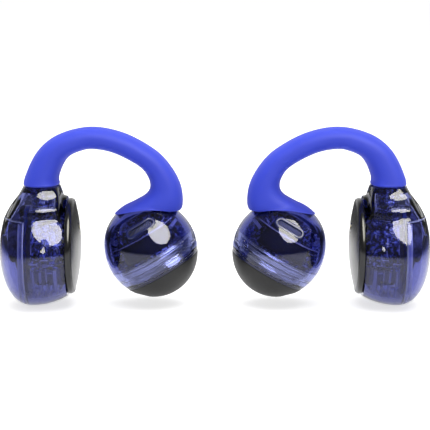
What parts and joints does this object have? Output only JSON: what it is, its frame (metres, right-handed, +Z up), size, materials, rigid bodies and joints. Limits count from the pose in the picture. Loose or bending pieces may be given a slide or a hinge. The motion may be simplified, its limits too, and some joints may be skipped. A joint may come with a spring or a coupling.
{
  "type": "open-ear clip earphones",
  "caption": "Pair of open-ear clip earphones: see-through battery pods and speaker balls joined by curved blue silicone spring bridges.",
  "frame": {"origin": "midway between the two ear gaps, at the height of their middle, where a wearer's ears hold the pair", "axes": "+X from the left earphone to the right one, +Z up to the bridges' tops, +Y away from the viewer"},
  "size_m": [0.0628, 0.0162, 0.0263],
  "materials": {
    "tinted_clear": "polished, see-through blue-violet polycarbonate",
    "lilac_clear": "polished, see-through pale lilac polycarbonate",
    "blue_silicone": "satin royal-blue silicone rubber",
    "black_plastic": "moulded black plastic, fine satin",
    "gloss_black": "glossy black window",
    "charcoal_plastic": "soft-touch charcoal plastic",
    "satin_metal": "satin gunmetal aluminium",
    "navy_plastic": "moulded navy plastic",
    "cell_can": "drawn nickel-plated steel can",
    "board_resist": "blue solder resist on fibreglass",
    "chip_black": "moulded chip packages",
    "magnet_nickel": "nickel-plated sintered magnet",
    "steel": "stainless steel",
    "gold_contact": "gold-plated contact",
    "coil_copper": "enamelled copper wire",
    "copper_flex": "amber polyimide ribbon with copper tracks",
    "diaphragm_film": "thin polymer film",
    "mesh_steel": "fine woven steel mesh"
  },
  "bodies": {
    "earpieces": {"left_ball_shell": "tinted_clear", "left_ring_band": "lilac_clear", "left_sound_cap": "charcoal_plastic", "left_saddle": "black_plastic", "left_ball_anchor": "steel", "left_rear_chamber": "navy_plastic", "left_driver_basket": "navy_plastic", "left_driver_yoke": "steel", "left_driver_magnet": "magnet_nickel", "left_diaphragm": "diaphragm_film", "left_vent_trim": "navy_plastic", "left_bridge_sleeve": "blue_silicone", "left_spring_wire": "steel", "left_flex_cable": "copper_flex", "right_ball_shell": "tinted_clear", "right_ring_band": "lilac_clear", "right_sound_cap": "charcoal_plastic", "right_saddle": "black_plastic", "right_ball_anchor": "steel", "right_rear_chamber": "navy_plastic", "right_driver_basket": "navy_plastic", "right_driver_yoke": "steel", "right_driver_magnet": "magnet_nickel", "right_diaphragm": "diaphragm_film", "right_vent_trim": "navy_plastic", "right_bridge_sleeve": "blue_silicone", "right_spring_wire": "steel", "right_flex_cable": "copper_flex", "voice_coils": "coil_copper", "vent_meshes": "mesh_steel", "vent_mics": "gold_contact", "outlet_meshes": "mesh_steel"},
    "left_pod": {"left_outer_dome": "tinted_clear", "left_main_shell": "tinted_clear", "left_disc_rim": "black_plastic", "left_disc_face": "satin_metal", "left_cell_frame": "navy_plastic", "left_battery_cell": "cell_can", "left_main_board": "board_resist", "left_board_chips": "chip_black", "left_touch_pad": "black_plastic", "left_case_magnet": "magnet_nickel", "left_wire_anchor": "steel", "left_frame_screws": "steel", "left_charge_pins": "gold_contact", "left_contact_window": "gloss_black"},
    "right_pod": {"right_outer_dome": "tinted_clear", "right_main_shell": "tinted_clear", "right_disc_rim": "black_plastic", "right_disc_face": "satin_metal", "right_cell_frame": "navy_plastic", "right_battery_cell": "cell_can", "right_main_board": "board_resist", "right_board_chips": "chip_black", "right_touch_pad": "black_plastic", "right_case_magnet": "magnet_nickel", "right_wire_anchor": "steel", "right_frame_screws": "steel", "right_charge_pins": "gold_contact", "right_contact_window": "gloss_black"}
  },
  "joints": [
    {"name": "left_bridge_flex", "type": "hinge", "parent": "earpieces", "child": "left_pod", "pos_m": [-0.01796, 0, 0.006], "axis": [0, 1, 0], "range_deg": [-4, 22], "stiffness_Nm_per_rad": 0.04, "deforming": ["left_bridge_sleeve", "left_spring_wire", "left_flex_cable"]},
    {"name": "right_bridge_flex", "type": "hinge", "parent": "earpieces", "child": "right_pod", "pos_m": [0.01796, 0, 0.006], "axis": [0, -1, 0], "range_deg": [-4, 22], "stiffness_Nm_per_rad": 0.04, "deforming": ["right_bridge_sleeve", "right_spring_wire", "right_flex_cable"]}
  ]
}
